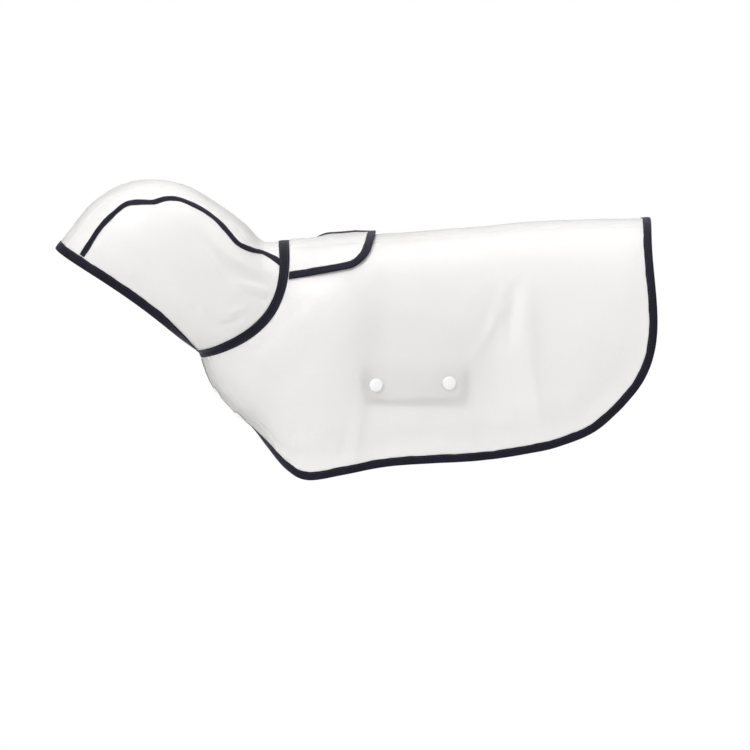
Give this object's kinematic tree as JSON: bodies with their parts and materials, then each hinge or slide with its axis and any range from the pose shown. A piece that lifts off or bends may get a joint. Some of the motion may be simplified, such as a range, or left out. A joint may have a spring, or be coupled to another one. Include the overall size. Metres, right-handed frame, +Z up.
{
  "type": "dog raincoat",
  "caption": "Hooded dog raincoat of frosted translucent film with dark bound edges, worn form: one-piece cape, leash flap on the back and a snapped belly strap.",
  "frame": {"origin": "on the wearer's back: in the film's wall at the ridge, about 150 mm behind the neck seam", "axes": "+X towards the tail, +Y towards the wearer's right side, +Z up"},
  "size_m": [0.5645, 0.1899, 0.2739],
  "materials": {
    "film": "frosted milky soft film with a satin sheen",
    "binding": "woven dark navy bias tape, matte",
    "snap": "white moulded snap, semi-gloss"
  },
  "bodies": {
    "root": {"body_panel": "film", "hood_centre_strip": "film", "hood_side_left": "film", "hood_side_right": "film", "leash_flap": "film", "belly_strap": "film", "neck_seam_binding": "binding", "hood_seam_binding_left": "binding", "hood_seam_binding_right": "binding", "hood_face_binding": "binding", "coat_edge_binding": "binding", "leash_slit_binding": "binding", "leash_flap_binding": "binding", "belly_strap_binding": "binding", "strap_snap_1_cap": "snap", "strap_snap_1_socket": "snap", "strap_snap_1_back": "snap", "strap_snap_2_cap": "snap", "strap_snap_2_socket": "snap", "strap_snap_2_back": "snap", "chest_snap_1_cap": "snap", "chest_snap_1_socket": "snap", "chest_snap_1_back": "snap", "chest_snap_2_cap": "snap", "chest_snap_2_socket": "snap", "chest_snap_2_back": "snap"}
  },
  "joints": []
}
